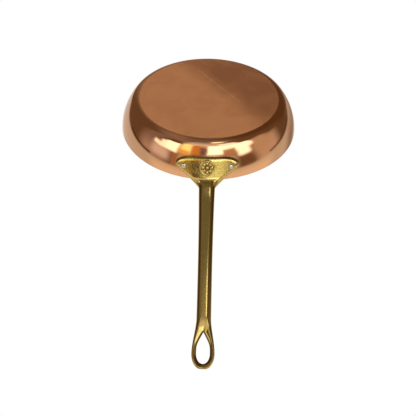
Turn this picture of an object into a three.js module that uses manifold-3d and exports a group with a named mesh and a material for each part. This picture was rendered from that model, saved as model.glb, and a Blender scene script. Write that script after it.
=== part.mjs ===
// Copper frying pan: a spun copper shell with a wiped tin lining, and a cast brass handle held by two rivets.
// Millimetres, +Z up. The origin is the centre of the flat underside, and the handle points along +X.
import * as THREE from "three";
import { mergeVertices } from "three/addons/utils/BufferGeometryUtils.js";
import Module from "manifold-3d";

const wasm = await Module();
wasm.setup();

// Shell and lining
const RIM_RADIUS = 100;
const PAN_DEPTH = 36.6;
const BASE_EDGE_RADIUS = 14;
const WALL_BOW_RADIUS = 62;
const RIM_LEAN = THREE.MathUtils.degToRad(7.4);
const COPPER_WALL = 1.5;
const LINING_WALL = 0.3;
const LINING_GAP = 0.1;

// Handle flange, which follows the wall: its heights are measured down from the rim
const FLANGE_GAP = 0.3;
const FLANGE_THICKNESS = 3.5;
const FLANGE_EDGE_RADIUS = 1.4;
const FLANGE_WIDTH = 66.6;
const FLANGE_FOOT_WIDTH = 26;
const FLANGE_FOOT_BELOW_RIM = 24.1;
const FLANGE_TIP_BELOW_RIM = 15;
const FLANGE_TIP_ROUNDING = 0.11;
const FLANGE_BEND_BELOW_RIM = 6.3;
const BOSS_RADIUS = 7;
const BOSS_HEIGHT = 0.9;
const BOSS_ROOT = 1.2;
const BOSS_BORDER = 1.4;

// Handle stem and hanging loop
const BEND_RADIUS = 9;
const STEM_SLOPE = THREE.MathUtils.degToRad(20);
const STEM_LENGTH = 134.6;
const STEM_ROOT_WIDTH = 16.4;
const STEM_END_WIDTH = 13.4;
const STEM_THICKNESS = 6.4;
const STEM_EDGE_RADIUS = 2.4;
const STEM_CROWN = 0.9;
const STEM_TAPER_POWER = 2.5;
const THROAT_LENGTH = 6;
const THROAT_ROUNDING = 0.44;
const LOOP_LENGTH = 43.8;
const LOOP_WIDTH = 20.4;
const LOOP_ROUND_LENGTH = 12.8;
const LOOP_THICKNESS = 5.4;
const LOOP_EDGE_RADIUS = 1.9;
const LOOP_TIP_WALL = 4.3;
const LOOP_TIP_FLAT = 4.4;
const EYE_WIDTH = 12;
const EYE_LENGTH = 27;
const EYE_ROUND_LENGTH = 8.5;

// Rivets
const RIVET_FROM_TIP = 9.3;
const RIVET_BELOW_RIM = 15;
const RIVET_SHANK_RADIUS = 1.8;
const RIVET_HOLE_CLEARANCE = 0.25;
const RIVET_SEAT_GAP = 0.3;
const RIVET_OUTER_HEAD_RADIUS = 2.6;
const RIVET_OUTER_HEAD_HEIGHT = 1.3;
const RIVET_INNER_HEAD_RADIUS = 4.6;
const RIVET_INNER_HEAD_HEIGHT = 1.9;

// Facets
const PAN_SEGMENTS = 64;
const EDGE_STEPS = 5;
const WALL_STEPS = 8;
const SECTION_CORNER_STEPS = 3;
const SECTION_FACE_STEPS = 8;
const BOSS_SEGMENTS = 32;
const EYE_STEPS = 10;
const RIVET_SEGMENTS = 24;
const DOME_STEPS = 4;
const CUT_OVERRUN = 3;

const COPPER = new THREE.MeshStandardMaterial({ color: 0xb5714a, roughness: 0.25, metalness: 1 });
const TIN = new THREE.MeshStandardMaterial({ color: 0xc9c8c2, roughness: 0.42, metalness: 1 });
const BRASS = new THREE.MeshStandardMaterial({ color: 0xb08d43, roughness: 0.35, metalness: 1 });
const STEEL = new THREE.MeshStandardMaterial({ color: 0xc4c6c9, roughness: 0.3, metalness: 1 });

const { lerp, smoothstep } = THREE.MathUtils;

// Outer skin of the shell. From the flat base, a tight arc turns up round the base's edge
// and runs into one wide arc, which ends at the rim with the rim's lean.
const arcsMeet = Math.acos(
  (PAN_DEPTH - BASE_EDGE_RADIUS + WALL_BOW_RADIUS * Math.sin(RIM_LEAN)) / (WALL_BOW_RADIUS - BASE_EDGE_RADIUS),
);
const bowCentre = new THREE.Vector2(
  RIM_RADIUS - WALL_BOW_RADIUS * Math.cos(RIM_LEAN),
  PAN_DEPTH + WALL_BOW_RADIUS * Math.sin(RIM_LEAN),
);
const baseRadius = bowCentre.x + (WALL_BOW_RADIUS - BASE_EDGE_RADIUS) * Math.sin(arcsMeet);
const edgeCentre = new THREE.Vector2(baseRadius, BASE_EDGE_RADIUS);
const edgeTravel = BASE_EDGE_RADIUS * arcsMeet;
const edgeHeight = BASE_EDGE_RADIUS * (1 - Math.cos(arcsMeet));

// Slope of the wall from the horizontal, after a travel along the outer skin from the edge of the flat base.
function wallAngle(travel) {
  if (travel < edgeTravel) return travel / BASE_EDGE_RADIUS;
  return arcsMeet + (travel - edgeTravel) / WALL_BOW_RADIUS;
}

// Point (radius, height) on the surface that lies a distance outside the outer skin.
function wallPoint(travel, outside) {
  const angle = wallAngle(travel);
  const normal = new THREE.Vector2(Math.sin(angle), -Math.cos(angle));
  if (travel < edgeTravel) return normal.multiplyScalar(BASE_EDGE_RADIUS + outside).add(edgeCentre);
  return normal.multiplyScalar(WALL_BOW_RADIUS + outside).add(bowCentre);
}

// Travel to where the surface that lies a distance outside the outer skin reaches a height.
function travelAt(height, outside = 0) {
  if (height < edgeHeight) return BASE_EDGE_RADIUS * Math.acos(1 - height / BASE_EDGE_RADIUS);
  const angle = Math.acos((bowCentre.y - height) / (WALL_BOW_RADIUS + outside));
  return edgeTravel + WALL_BOW_RADIUS * (angle - arcsMeet);
}

// Profile of the surface a distance inside the outer skin, from the axis out to the flat top of the rim.
function panProfile(inside) {
  const points = [new THREE.Vector2(0, inside), new THREE.Vector2(baseRadius, inside)];
  const rimTravel = travelAt(PAN_DEPTH, -inside);
  for (let i = 1; i <= EDGE_STEPS; i++) points.push(wallPoint((edgeTravel * i) / EDGE_STEPS, -inside));
  for (let i = 1; i <= WALL_STEPS; i++) points.push(wallPoint(lerp(edgeTravel, rimTravel, i / WALL_STEPS), -inside));
  return points;
}

// Solid of revolution about +Z from a profile of (radius, height) points.
function revolve(profile, segments) {
  return new THREE.LatheGeometry(profile, segments).rotateX(Math.PI / 2);
}

// Bowl between two depths inside the outer skin.
function bowl(outerInside, innerInside) {
  return revolve([...panProfile(outerInside), ...panProfile(innerInside).reverse()], PAN_SEGMENTS);
}

function toSolid(geometry) {
  const bare = geometry.clone();
  bare.deleteAttribute("normal");
  bare.deleteAttribute("uv");
  const merged = mergeVertices(bare, 1e-4);
  const vertProperties = merged.attributes.position.array;
  const triVerts = new Uint32Array(merged.index.array);
  return new wasm.Manifold(new wasm.Mesh({ numProp: 3, vertProperties, triVerts }));
}

function toGeometry(solid) {
  const mesh = solid.getMesh();
  const geometry = new THREE.BufferGeometry();
  geometry.setAttribute("position", new THREE.BufferAttribute(mesh.vertProperties, 3));
  geometry.setIndex(new THREE.BufferAttribute(mesh.triVerts, 1));
  geometry.computeVertexNormals();
  return geometry;
}

// Frame on the outer skin at a height and a turn about the pan's axis. Its +Z is the wall's outward normal.
function wallFrame(height, turn) {
  const travel = travelAt(height);
  const skin = wallPoint(travel, 0);
  const frame = new THREE.Matrix4().makeRotationZ(turn);
  frame.multiply(new THREE.Matrix4().makeTranslation(skin.x, 0, skin.y));
  return frame.multiply(new THREE.Matrix4().makeRotationY(Math.PI - wallAngle(travel)));
}

// The two rivets sit level, each the same distance in from its tip of the flange.
const flangeFace = FLANGE_GAP + FLANGE_THICKNESS;
const liningFace = -(COPPER_WALL + LINING_GAP + LINING_WALL);
const rivetHeight = PAN_DEPTH - RIVET_BELOW_RIM;
const rivetAcross = FLANGE_WIDTH / 2 - RIVET_FROM_TIP;
const rivetTurn = rivetAcross / wallPoint(travelAt(rivetHeight), flangeFace).x;
const rivets = [
  { name: "rivet_left", frame: wallFrame(rivetHeight, rivetTurn) },
  { name: "rivet_right", frame: wallFrame(rivetHeight, -rivetTurn) },
];

// Takes both rivet holes out of a solid.
function drilled(solid) {
  const radius = RIVET_SHANK_RADIUS + RIVET_HOLE_CLEARANCE;
  const from = liningFace - CUT_OVERRUN;
  const to = flangeFace + CUT_OVERRUN;
  const drill = new THREE.CylinderGeometry(radius, radius, to - from, RIVET_SEGMENTS);
  drill.rotateX(Math.PI / 2).translate(0, 0, (from + to) / 2);
  return rivets.reduce((rest, { frame }) => rest.subtract(toSolid(drill.clone().applyMatrix4(frame))), solid);
}

// Domed head from its edge on the seat to its top on the axis.
function dome(radius, seat, height) {
  const points = [];
  for (let i = 0; i < DOME_STEPS; i++) {
    const angle = ((Math.PI / 2) * i) / DOME_STEPS;
    points.push(new THREE.Vector2(radius * Math.cos(angle), seat + height * Math.sin(angle)));
  }
  points.push(new THREE.Vector2(0, seat + height));
  return points;
}

// Rivet with its wide head on the lining and its small closed head on the flange.
function rivetGeometry() {
  const innerSeat = liningFace - RIVET_SEAT_GAP;
  const outerSeat = flangeFace + RIVET_SEAT_GAP;
  const profile = [
    ...dome(RIVET_INNER_HEAD_RADIUS, innerSeat, -RIVET_INNER_HEAD_HEIGHT).reverse(),
    new THREE.Vector2(RIVET_SHANK_RADIUS, innerSeat),
    new THREE.Vector2(RIVET_SHANK_RADIUS, outerSeat),
    ...dome(RIVET_OUTER_HEAD_RADIUS, outerSeat, RIVET_OUTER_HEAD_HEIGHT),
  ];
  return revolve(profile, RIVET_SEGMENTS);
}

// Spine of the handle: the middle of its thickness, in the XZ plane. It climbs the wall from the flange's foot,
// bends outward below the rim and runs straight to the loop. A station is a distance along it from the foot.
const spineOutside = FLANGE_GAP + FLANGE_THICKNESS / 2;
const footTravel = travelAt(PAN_DEPTH - FLANGE_FOOT_BELOW_RIM);
const tipStation = travelAt(PAN_DEPTH - FLANGE_TIP_BELOW_RIM) - footTravel;
const bendStation = travelAt(PAN_DEPTH - FLANGE_BEND_BELOW_RIM) - footTravel;
const bendLength = BEND_RADIUS * (wallAngle(footTravel + bendStation) - STEM_SLOPE);
const stemStation = bendStation + bendLength;
const throatStation = stemStation + THROAT_LENGTH;
const loopStation = stemStation + STEM_LENGTH;
const widestStation = loopStation + LOOP_LENGTH - LOOP_ROUND_LENGTH;
const endStation = loopStation + LOOP_LENGTH;

// Place and slope of the spine at a station, and how much of the wall's roundness the handle still has there.
function spineAt(station) {
  const climbed = footTravel + Math.min(station, bendStation);
  const bent = Math.min(Math.max(station - bendStation, 0), bendLength);
  const straight = Math.max(station - stemStation, 0);
  const from = wallAngle(climbed);
  const angle = from - bent / BEND_RADIUS;
  const place = wallPoint(climbed, spineOutside);
  place.x += BEND_RADIUS * (Math.sin(from) - Math.sin(angle)) + straight * Math.cos(angle);
  place.y += BEND_RADIUS * (Math.cos(angle) - Math.cos(from)) + straight * Math.sin(angle);
  return { x: place.x, z: place.y, angle, roundness: 1 - smoothstep(bent, 0, bendLength) };
}

// Point of the handle at a station: across is sideways, and off is towards its outer and lower side.
// On the flange the sideways direction runs round the pan, and past the bend it is straight.
function handlePoint(station, across, off) {
  const { x, z, angle, roundness } = spineAt(station);
  const offX = off * Math.sin(angle);
  const offZ = -off * Math.cos(angle);
  if (roundness < 1e-6) return new THREE.Vector3(x + offX, across, z + offZ);
  const radius = x / roundness;
  const turn = across / radius;
  const reach = radius + offX;
  return new THREE.Vector3(x + offX - reach * (1 - Math.cos(turn)), reach * Math.sin(turn), z + offZ);
}

// A share that still runs from 0 to 1, but starts level and rounds into its slope.
function easedIn(share, rounding) {
  return (Math.hypot(share, rounding) - rounding) / (Math.hypot(1, rounding) - rounding);
}

// Half-width of the handle at a station. The flange's sides run nearly straight from its tips to the stem.
function halfWidth(station) {
  if (station < tipStation) {
    const left = 1 - station / tipStation;
    return lerp(FLANGE_FOOT_WIDTH, FLANGE_WIDTH, Math.sqrt(1 - left * left)) / 2;
  }
  if (station < throatStation) {
    const run = (station - tipStation) / (throatStation - tipStation);
    const left = 1 - easedIn(run, FLANGE_TIP_ROUNDING);
    return lerp(STEM_ROOT_WIDTH, FLANGE_WIDTH, easedIn(left, THROAT_ROUNDING)) / 2;
  }
  if (station < loopStation) {
    const left = (loopStation - station) / (loopStation - throatStation);
    return lerp(STEM_END_WIDTH, STEM_ROOT_WIDTH, left ** STEM_TAPER_POWER) / 2;
  }
  if (station < widestStation) {
    return lerp(STEM_END_WIDTH, LOOP_WIDTH, smoothstep(station, loopStation, widestStation)) / 2;
  }
  const run = (station - widestStation) / (endStation - widestStation);
  return lerp(LOOP_TIP_FLAT, LOOP_WIDTH, Math.sqrt(1 - run * run)) / 2;
}

// Half-thickness, edge radius and crown of the handle at a station. Both ends are rounded over with the edge radius,
// and the crown is how far the middle of the stem's lower face swells out.
function handleDepth(station) {
  const grown = smoothstep(station, bendStation, throatStation);
  const thinned = smoothstep(station, throatStation, loopStation);
  const stem = lerp(STEM_THICKNESS, LOOP_THICKNESS, thinned);
  const stemEdge = lerp(STEM_EDGE_RADIUS, LOOP_EDGE_RADIUS, thinned);
  const edge = lerp(FLANGE_EDGE_RADIUS, stemEdge, grown);
  const half = lerp(FLANGE_THICKNESS, stem, grown) / 2;
  const beforeEdge = Math.max(edge - Math.min(station, endStation - station), 0);
  const thinHalf = half - edge + Math.sqrt(edge * edge - beforeEdge * beforeEdge);
  const crown = STEM_CROWN * grown * (1 - smoothstep(station, loopStation, widestStation));
  return { half: thinHalf, edge: Math.min(edge, thinHalf), crown };
}

// Closed section of the handle at a station: a bar with round edges, its two broad faces in steps that bend.
function handleSection(station) {
  const { half, edge, crown } = handleDepth(station);
  const flat = halfWidth(station) - edge;
  const ring = [];
  for (let quarter = 0; quarter < 4; quarter++) {
    const side = quarter === 0 || quarter === 3 ? 1 : -1;
    const face = quarter < 2 ? 1 : -1;
    for (let i = 0; i <= SECTION_CORNER_STEPS; i++) {
      const angle = (Math.PI / 2) * (quarter + i / SECTION_CORNER_STEPS);
      const off = face * (half - edge) + edge * Math.sin(angle);
      ring.push(handlePoint(station, side * flat + edge * Math.cos(angle), off));
    }
    if (side !== face) continue;
    for (let i = 1; i < SECTION_FACE_STEPS; i++) {
      const share = 1 - (2 * i) / SECTION_FACE_STEPS;
      const swell = face === 1 ? crown * (1 - share * share) : 0;
      ring.push(handlePoint(station, side * flat * share, face * half + swell));
    }
  }
  return ring;
}

// Closed skin over a row of sections, with a fan over each end.
function loft(rings) {
  const size = rings[0].length;
  const points = rings.flat();
  const faces = [];
  for (let ring = 0; ring + 1 < rings.length; ring++) {
    for (let i = 0; i < size; i++) {
      const a = ring * size + i;
      const b = ring * size + ((i + 1) % size);
      faces.push(a, b + size, b, a, a + size, b + size);
    }
  }
  for (const ring of [0, rings.length - 1]) {
    const middle = points.length;
    const sum = rings[ring].reduce((total, point) => total.add(point), new THREE.Vector3());
    points.push(sum.divideScalar(size));
    for (let i = 0; i < size; i++) {
      const a = ring * size + i;
      const b = ring * size + ((i + 1) % size);
      faces.push(middle, ring === 0 ? a : b, ring === 0 ? b : a);
    }
  }
  const geometry = new THREE.BufferGeometry().setFromPoints(points);
  geometry.setIndex(faces);
  return geometry;
}

// Stations from one place up to the next, closer together where the ease is flat.
function spread(from, to, steps, ease = (share) => share) {
  return Array.from({ length: steps }, (_, i) => lerp(from, to, ease(i / steps)));
}

const sections = [
  ...spread(0, tipStation, 6, (share) => 1 - Math.cos((share * Math.PI) / 2)),
  ...spread(tipStation, bendStation, 7),
  ...spread(bendStation, stemStation, 6),
  ...spread(stemStation, throatStation, 3),
  ...spread(throatStation, loopStation, 5),
  ...spread(loopStation, widestStation, 6),
  ...spread(widestStation, endStation, 7, (share) => Math.sin((share * Math.PI) / 2)),
  endStation,
].map(handleSection);

// Teardrop eye of the hanging loop, cut square through it.
function eyeCutter() {
  const end = LOOP_LENGTH - LOOP_TIP_WALL;
  const start = end - EYE_LENGTH;
  const wide = end - EYE_ROUND_LENGTH;
  const half = EYE_WIDTH / 2;
  const shape = new THREE.Shape();
  shape.moveTo(start, 0);
  shape.bezierCurveTo(lerp(start, wide, 0.6), -half, lerp(start, wide, 0.6), -half, wide, -half);
  shape.absellipse(wide, 0, EYE_ROUND_LENGTH, half, -Math.PI / 2, Math.PI / 2, false);
  shape.bezierCurveTo(lerp(start, wide, 0.6), half, lerp(start, wide, 0.6), half, start, 0);
  const depth = LOOP_THICKNESS + 2 * CUT_OVERRUN;
  const prism = new THREE.ExtrudeGeometry(shape, { depth, bevelEnabled: false, curveSegments: EYE_STEPS });
  const { x, z, angle } = spineAt(loopStation);
  prism.translate(0, 0, -depth / 2).rotateY(-angle).translate(x, 0, z);
  return toSolid(prism);
}

// Round boss in the middle of the flange, level with the rivets: a raised border around a low dome.
function flangeBoss() {
  const inner = BOSS_RADIUS - BOSS_BORDER;
  const floor = BOSS_HEIGHT / 2;
  const profile = [
    new THREE.Vector2(0, -BOSS_ROOT),
    new THREE.Vector2(BOSS_RADIUS, -BOSS_ROOT),
    new THREE.Vector2(BOSS_RADIUS, BOSS_HEIGHT),
    new THREE.Vector2(inner, BOSS_HEIGHT),
    ...dome(inner, floor, BOSS_HEIGHT - floor),
  ];
  const boss = revolve(profile, BOSS_SEGMENTS).translate(0, 0, flangeFace);
  return toSolid(boss.applyMatrix4(wallFrame(PAN_DEPTH - FLANGE_TIP_BELOW_RIM, 0)));
}

const shell = toSolid(bowl(0, COPPER_WALL));
const lining = toSolid(bowl(COPPER_WALL + LINING_GAP, -liningFace));
const casting = toSolid(loft(sections)).add(flangeBoss()).subtract(eyeCutter());

const pan = new THREE.Group();

function addPiece(name, geometry, material) {
  const piece = new THREE.Mesh(geometry, material);
  piece.name = name;
  pan.add(piece);
}

addPiece("pan_body", toGeometry(drilled(shell)), COPPER);
addPiece("pan_lining", toGeometry(drilled(lining)), TIN);
addPiece("handle", toGeometry(drilled(casting)), BRASS);
for (const { name, frame } of rivets) addPiece(name, rivetGeometry().applyMatrix4(frame), STEEL);

export default pan;
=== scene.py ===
import math

import bpy
import numpy as np
from mathutils import Matrix, Vector
from mathutils.geometry import delaunay_2d_cdt


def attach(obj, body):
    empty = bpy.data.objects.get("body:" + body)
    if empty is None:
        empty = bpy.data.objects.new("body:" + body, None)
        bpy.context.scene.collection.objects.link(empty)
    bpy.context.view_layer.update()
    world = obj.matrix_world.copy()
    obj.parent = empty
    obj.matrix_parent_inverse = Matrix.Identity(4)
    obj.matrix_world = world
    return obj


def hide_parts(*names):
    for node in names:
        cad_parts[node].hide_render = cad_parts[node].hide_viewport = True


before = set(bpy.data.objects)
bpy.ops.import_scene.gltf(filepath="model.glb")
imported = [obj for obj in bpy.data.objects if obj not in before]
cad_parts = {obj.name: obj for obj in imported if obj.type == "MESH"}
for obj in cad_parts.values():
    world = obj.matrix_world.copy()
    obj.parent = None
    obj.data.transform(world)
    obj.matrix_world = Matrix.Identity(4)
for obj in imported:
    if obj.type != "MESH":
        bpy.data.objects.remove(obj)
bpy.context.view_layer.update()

# Copper shell
# One round of copper sheet, spun over a former: a flat base, a tight edge and a bowed wall up to a plain rim.
# The wall is buffed bright. The base, which stands on the hob, is worn to a brown satin.
MM = 0.001
RIM_RADIUS = 100.0
PAN_DEPTH = 36.6
BASE_EDGE_RADIUS = 14.0
WALL_BOW_RADIUS = 62.0
RIM_LEAN = math.radians(7.4)
COPPER_WALL = 1.5
BOWL_TURNS = 288
EDGE_STEPS = 28
WALL_STEPS = 56
LIP_STEPS = 12

bow_drop = WALL_BOW_RADIUS * math.sin(RIM_LEAN)
arcs_meet = math.acos((PAN_DEPTH - BASE_EDGE_RADIUS + bow_drop) / (WALL_BOW_RADIUS - BASE_EDGE_RADIUS))
bow_centre = Vector((RIM_RADIUS - WALL_BOW_RADIUS * math.cos(RIM_LEAN), PAN_DEPTH + bow_drop))
base_radius = bow_centre.x + (WALL_BOW_RADIUS - BASE_EDGE_RADIUS) * math.sin(arcs_meet)
edge_centre = Vector((base_radius, BASE_EDGE_RADIUS))
edge_travel = BASE_EDGE_RADIUS * arcs_meet


def wall_angle(travel):
    """Slope of the wall after a travel along the outer skin from the edge of the flat base."""
    if travel < edge_travel:
        return travel / BASE_EDGE_RADIUS
    return arcs_meet + (travel - edge_travel) / WALL_BOW_RADIUS


def wall_point(travel, outside):
    """Radius and height of the surface that lies a distance outside the outer skin."""
    angle = wall_angle(travel)
    outward = Vector((math.sin(angle), -math.cos(angle)))
    if travel < edge_travel:
        return edge_centre + outward * (BASE_EDGE_RADIUS + outside)
    return bow_centre + outward * (WALL_BOW_RADIUS + outside)


def travel_at(height, outside=0.0):
    """Travel to where the surface that lies a distance outside the outer skin reaches a height."""
    angle = math.acos((bow_centre.y - height) / (WALL_BOW_RADIUS + outside))
    return edge_travel + WALL_BOW_RADIUS * (angle - arcs_meet)


def bowl_profile(outer, inner, top):
    """Profile of a bowl between two depths inside the outer skin, with a half-round lip at its top."""
    lip = (inner - outer) / 2
    middle = (inner + outer) / 2
    lip_travel = travel_at(top - lip, -middle)
    travels = [edge_travel * i / EDGE_STEPS for i in range(EDGE_STEPS)]
    travels += [edge_travel + (lip_travel - edge_travel) * i / WALL_STEPS for i in range(WALL_STEPS + 1)]
    lip_centre = wall_point(lip_travel, -middle)
    angle = wall_angle(lip_travel)
    outward = Vector((math.sin(angle), -math.cos(angle)))
    upward = Vector((math.cos(angle), math.sin(angle)))
    turns = [math.pi * i / LIP_STEPS for i in range(1, LIP_STEPS)]
    lip_points = [lip_centre + (outward * math.cos(turn) + upward * math.sin(turn)) * lip for turn in turns]
    outer_points = [wall_point(travel, -outer) for travel in travels]
    inner_points = [wall_point(travel, -inner) for travel in reversed(travels)]
    return [Vector((0, outer)), *outer_points, *lip_points, *inner_points, Vector((0, inner))]


def turned(profile, steps):
    """Points and faces of a profile of (radius, height), from axis to axis, turned about Z."""
    points, rows = [], []
    for radius, height in profile:
        count = steps if radius > 0 else 1
        rows.append([len(points) + i % count for i in range(steps)])
        for i in range(count):
            turn = 2 * math.pi * i / steps
            points.append((radius * math.cos(turn), radius * math.sin(turn), height))
    faces = []
    for low, high in zip(rows, rows[1:]):
        for i in range(steps):
            after = (i + 1) % steps
            corners = dict.fromkeys([low[after], high[after], high[i], low[i]])
            faces.append(list(corners))
    return points, faces


def add_piece(name, points, faces):
    """Smooth mesh object from points in millimetres."""
    mesh = bpy.data.meshes.new(name)
    mesh.from_pydata([[value * MM for value in point] for point in points], [], faces)
    mesh.shade_smooth()
    piece = bpy.data.objects.new(name, mesh)
    bpy.context.scene.collection.objects.link(piece)
    return piece


pan_shell = add_piece("pan_shell", *turned(bowl_profile(0, COPPER_WALL, PAN_DEPTH), BOWL_TURNS))
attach(pan_shell, "root")
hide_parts("pan_body")

# Spun copper sheet. The buffed wall mirrors the room, with faint rings from the spinning and a slight wave.
# The base is a brown satin with cloudy tarnish, a painted sheen that lightens one side, and one long scratch.
# The rings and the scratch are drawn coarser than the real ones, so that they show.
COPPER_WALL_BRIGHT = "#d0a47e"
COPPER_WALL_DULL = "#c99c76"
COPPER_BASE_LIGHT = "#d79b6b"
COPPER_BASE_DARK = "#a16c47"
WALL_METALLIC = 1.0
BASE_METALLIC = 0.35
WALL_ROUGHNESS = (0.06, 0.12)
BASE_ROUGHNESS = (0.46, 0.54)
FINISH_EDGE_FROM = 0.4
FINISH_EDGE_TO = 2.6
TARNISH_CLOUD = 30.0
TARNISH_CLOUD_SHARE = 0.75
# A painted sheen: a ramp that makes one side of the base lighter, as light falling on it would.
SHEEN_LEAN = 0.8
SHEEN_FROM = -46.0
SHEEN_TO = 8.0
SHEEN_SHARE = (-0.3, 0.35)
LIGHTEST_AT = 0.75
WAVE_LENGTH = 26.0
WAVE_HEIGHT = 0.05
SPIN_RING = 0.8
SPIN_HEIGHT = 0.004
SCRATCH_FROM = Vector((-51.9, 13.1, 0))
SCRATCH_TO = Vector((12.7, -34.0, 0))
SCRATCH_HALF_WIDTH = 1.2
SCRATCH_SHARE = 0.45
# A Mix node's colour sockets share their names with its other sockets, so they go by number.
MIX_A, MIX_B, MIX_RESULT = 6, 7, 2


def linear(hex_colour):
    """sRGB hex colour as linear RGBA."""
    parts = [int(hex_colour[i:i + 2], 16) / 255 for i in (1, 3, 5)]
    return [*(part / 12.92 if part <= 0.04045 else ((part + 0.055) / 1.055) ** 2.4 for part in parts), 1]


def add_node(tree, kind, inputs, output=0, **settings):
    """Adds a node with its settings, gives each input a value or a link, and returns one of its outputs."""
    node = tree.nodes.new(kind)
    for name, value in settings.items():
        setattr(node, name, value)
    for name, value in inputs.items():
        if isinstance(value, bpy.types.NodeSocket):
            tree.links.new(value, node.inputs[name])
        else:
            node.inputs[name].default_value = value
    return node.outputs[output] if node.outputs else None


def new_material(name, *pieces):
    """Puts an empty node material on pieces, and returns its tree and the piece's own coordinates."""
    material = bpy.data.materials.new(name)
    material.use_nodes = True
    material.node_tree.nodes.clear()
    for piece in pieces:
        piece.data.materials.append(material)
    return material.node_tree, add_node(material.node_tree, "ShaderNodeTexCoord", {}, "Object")


tree, place = new_material("spun_copper", pan_shell)
along, across, height = add_node(tree, "ShaderNodeSeparateXYZ", {"Vector": place}).node.outputs
flat_place = add_node(tree, "ShaderNodeVectorMath", {0: place, 1: (1, 1, 0)}, operation="MULTIPLY")
radius = add_node(tree, "ShaderNodeVectorMath", {0: flat_place}, "Value", operation="LENGTH")
on_base = add_node(
    tree,
    "ShaderNodeMapRange",
    {
        "Value": radius,
        "From Min": (base_radius + FINISH_EDGE_FROM) * MM,
        "From Max": (base_radius + FINISH_EDGE_TO) * MM,
        "To Min": 1,
        "To Max": 0,
    },
    interpolation_type="SMOOTHSTEP",
)
clouds = add_node(
    tree,
    "ShaderNodeTexNoise",
    {"Vector": place, "Scale": 1 / (TARNISH_CLOUD * MM), "Detail": 3, "Roughness": 0.5, "Distortion": 0.7},
)
# Painted sheen, lighter towards one side of the base, added to the tarnish clouds.
sheen_place = add_node(
    tree, "ShaderNodeMath", {0: along, 1: SHEEN_LEAN, 2: across}, operation="MULTIPLY_ADD"
)
painted_sheen = add_node(
    tree,
    "ShaderNodeMapRange",
    {
        "Value": sheen_place,
        "From Min": SHEEN_FROM * MM,
        "From Max": SHEEN_TO * MM,
        "To Min": SHEEN_SHARE[0],
        "To Max": SHEEN_SHARE[1],
    },
    interpolation_type="SMOOTHSTEP",
)
tarnish_and_sheen = add_node(
    tree, "ShaderNodeMath", {0: clouds, 1: TARNISH_CLOUD_SHARE, 2: painted_sheen}, operation="MULTIPLY_ADD"
)
lightness = add_node(tree, "ShaderNodeMapRange", {"Value": tarnish_and_sheen, "From Max": LIGHTEST_AT})
scratch_line = (SCRATCH_TO - SCRATCH_FROM) * MM
scratch_place = add_node(
    tree,
    "ShaderNodeMapping",
    {
        "Vector": place,
        "Location": SCRATCH_FROM * MM,
        "Rotation": (0, 0, math.atan2(scratch_line.y, scratch_line.x)),
        "Scale": (scratch_line.length, SCRATCH_HALF_WIDTH * MM, 1),
    },
    vector_type="TEXTURE",
)
scratch_parts = add_node(tree, "ShaderNodeSeparateXYZ", {"Vector": scratch_place}).node.outputs
scratch_along, scratch_off, _ = scratch_parts
# The scratch lies from 0 to 1 along its own line, so within a half of its middle.
on_length = add_node(tree, "ShaderNodeMath", {0: scratch_along, 1: 0.5, 2: 0.5}, operation="COMPARE")
from_line = add_node(tree, "ShaderNodeMath", {0: scratch_off}, operation="ABSOLUTE")
scratch_depth = add_node(
    tree,
    "ShaderNodeMapRange",
    {"Value": from_line, "To Min": SCRATCH_SHARE, "To Max": 0},
    interpolation_type="SMOOTHSTEP",
)
scratch = add_node(tree, "ShaderNodeMath", {0: scratch_depth, 1: on_length}, operation="MULTIPLY")
scratched = add_node(tree, "ShaderNodeMath", {0: lightness, 1: scratch}, operation="ADD")
base_colour = add_node(
    tree,
    "ShaderNodeMix",
    {"Factor": scratched, MIX_A: linear(COPPER_BASE_DARK), MIX_B: linear(COPPER_BASE_LIGHT)},
    MIX_RESULT,
    data_type="RGBA",
)
wall_colour = add_node(
    tree,
    "ShaderNodeMix",
    {"Factor": clouds, MIX_A: linear(COPPER_WALL_DULL), MIX_B: linear(COPPER_WALL_BRIGHT)},
    MIX_RESULT,
    data_type="RGBA",
)
copper_colour = add_node(
    tree,
    "ShaderNodeMix",
    {"Factor": on_base, MIX_A: wall_colour, MIX_B: base_colour},
    MIX_RESULT,
    data_type="RGBA",
)
wall_roughness = add_node(
    tree, "ShaderNodeMapRange", {"Value": clouds, "To Min": WALL_ROUGHNESS[0], "To Max": WALL_ROUGHNESS[1]}
)
base_roughness = add_node(
    tree, "ShaderNodeMapRange", {"Value": clouds, "To Min": BASE_ROUGHNESS[1], "To Max": BASE_ROUGHNESS[0]}
)
copper_roughness = add_node(
    tree, "ShaderNodeMix", {"Factor": on_base, "A": wall_roughness, "B": base_roughness}
)
ring_place = add_node(tree, "ShaderNodeMath", {0: radius, 1: height}, operation="ADD")
rings = add_node(
    tree,
    "ShaderNodeTexNoise",
    {"W": ring_place, "Scale": 1 / (SPIN_RING * MM), "Detail": 1},
    noise_dimensions="1D",
)
waves = add_node(tree, "ShaderNodeTexNoise", {"Vector": place, "Scale": 1 / (WAVE_LENGTH * MM), "Detail": 0})
ringed = add_node(tree, "ShaderNodeBump", {"Height": rings, "Strength": 1, "Distance": SPIN_HEIGHT * MM})
waved = add_node(
    tree, "ShaderNodeBump", {"Height": waves, "Strength": 1, "Distance": WAVE_HEIGHT * MM, "Normal": ringed}
)
copper_metallic = add_node(
    tree, "ShaderNodeMapRange", {"Value": on_base, "To Min": WALL_METALLIC, "To Max": BASE_METALLIC}
)
copper = add_node(
    tree,
    "ShaderNodeBsdfPrincipled",
    {
        "Base Color": copper_colour,
        "Metallic": copper_metallic,
        "Roughness": copper_roughness,
        "Normal": waved,
    },
)
add_node(tree, "ShaderNodeOutputMaterial", {"Surface": copper})

# Tin lining
# Pure tin, melted and wiped over the whole inside of the copper, because food isn't cooked on bare copper.
# It holds to the copper by itself, and ends in a thin line just under the rim.
LINING_GAP = 0.1
LINING_WALL = 0.3
LINING_BELOW_RIM = 0.6

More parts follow.
